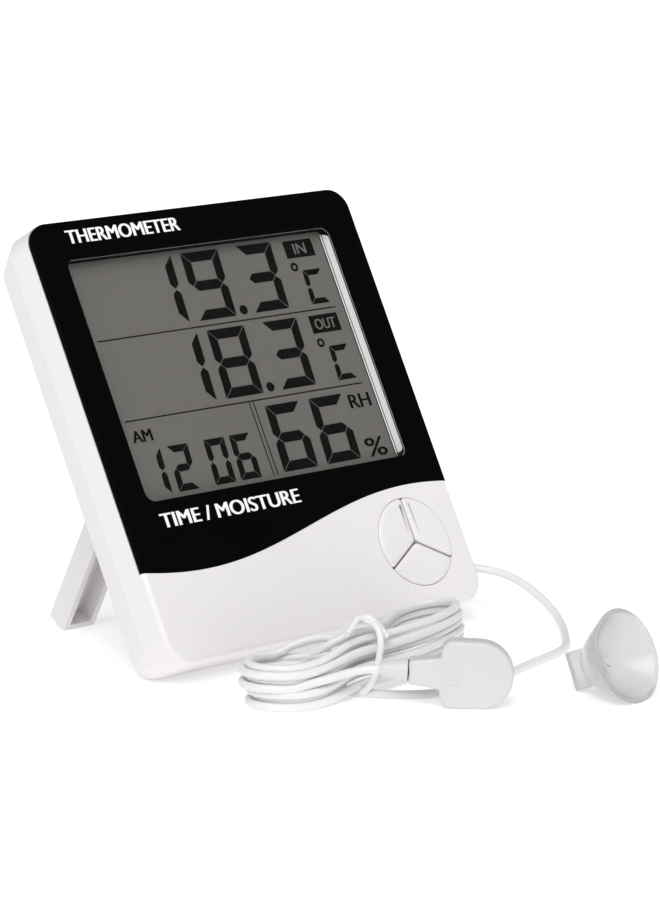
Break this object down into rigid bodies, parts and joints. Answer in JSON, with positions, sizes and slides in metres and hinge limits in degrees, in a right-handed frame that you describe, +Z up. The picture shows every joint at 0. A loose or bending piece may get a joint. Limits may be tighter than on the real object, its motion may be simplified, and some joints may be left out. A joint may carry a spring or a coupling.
{
  "type": "digital maximum minimum thermometer",
  "caption": "Free-standing digital maximum minimum thermometer with a large display, front keys, a fold-out stand and a wired outdoor probe with a suction cup.",
  "frame": {"origin": "on the resting surface, under the middle of the standing case and open stand, not counting the free cable and what is on it", "axes": "+X to the right as seen from the front, +Y to the back, +Z up; the case leans back by about 28.5 degrees"},
  "size_m": [0.1155, 0.1463, 0.1022],
  "materials": {
    "body_plastic": "satin white moulded plastic",
    "faceplate_plastic": "high gloss black",
    "lens_clear": "clear glossy",
    "lcd_grey": "flat grey green",
    "foil": "brushed foil",
    "white_plastic": "plain white",
    "elastomer": "matt dark",
    "silicone": "matt pale",
    "circuit_board": "satin solder mask",
    "epoxy_black": "glossy black",
    "steel": "plated",
    "brass": "satin",
    "component": "matt",
    "cell_jacket": "glossy sleeve",
    "wire": "satin insulation",
    "cable_jacket": "satin white",
    "clear_soft": "clear glossy soft plastic"
  },
  "bodies": {
    "case": {"front_case": "body_plastic", "rear_case": "body_plastic", "faceplate": "faceplate_plastic", "window_lens": "lens_clear", "lcd_polariser": "lcd_grey", "lcd_glass": "lcd_grey", "lcd_reflector": "foil", "lcd_holder": "white_plastic", "zebra_strip": "elastomer", "main_board": "circuit_board", "chip_blob": "epoxy_black", "crystal": "steel", "capacitors": "component", "tact_switches": "epoxy_black", "room_sensor": "epoxy_black", "humidity_sensor": "white_plastic", "buzzer": "brass", "key_mat": "silicone", "battery_cell": "cell_jacket", "battery_spring": "steel", "battery_contact": "steel", "battery_wires": "wire", "probe_inner_lead": "cable_jacket", "case_screws": "steel", "board_screws": "steel", "cable_grommet": "cable_jacket", "probe_cable": "cable_jacket", "cable_hank": "cable_jacket", "cable_tie": "cable_jacket", "probe_tail": "cable_jacket", "probe_front_shell": "body_plastic", "probe_rear_shell": "body_plastic", "probe_sensor": "epoxy_black", "probe_strain_relief": "cable_jacket", "suction_cup": "clear_soft"},
    "stand": {"stand": "body_plastic"},
    "mode_key": {"mode_key": "body_plastic"},
    "adjust_key": {"adjust_key": "body_plastic"},
    "memory_key": {"memory_key": "body_plastic"},
    "unit_button": {"unit_button": "white_plastic"},
    "reset_button": {"reset_button": "white_plastic"},
    "battery_door": {"battery_door": "body_plastic"}
  },
  "joints": [
    {"name": "stand_fold", "type": "hinge", "parent": "case", "child": "stand", "pos_m": [0, 0.00673, 0.04976], "axis": [-1, 0, 0], "range_deg": [0, 57]},
    {"name": "mode_press", "type": "slide", "parent": "case", "child": "mode_key", "axis": [0, 0.879, -0.4768], "range_m": [0, 0.0007], "stiffness_N_per_m": 300, "springref_m": -0.002},
    {"name": "adjust_press", "type": "slide", "parent": "case", "child": "adjust_key", "axis": [0, 0.879, -0.4768], "range_m": [0, 0.0007], "stiffness_N_per_m": 300, "springref_m": -0.002},
    {"name": "memory_press", "type": "slide", "parent": "case", "child": "memory_key", "axis": [0, 0.879, -0.4768], "range_m": [0, 0.0007], "stiffness_N_per_m": 300, "springref_m": -0.002},
    {"name": "unit_press", "type": "slide", "parent": "case", "child": "unit_button", "axis": [0, -0.879, 0.4768], "range_m": [0, 0.0005], "stiffness_N_per_m": 300, "springref_m": -0.002},
    {"name": "reset_press", "type": "slide", "parent": "case", "child": "reset_button", "axis": [0, -0.879, 0.4768], "range_m": [0, 0.0005], "stiffness_N_per_m": 300, "springref_m": -0.002},
    {"name": "battery_door_open", "type": "hinge", "parent": "case", "child": "battery_door", "pos_m": [0, -0.01481, 0.00501], "axis": [-1, 0, 0], "range_deg": [0, 60]}
  ]
}
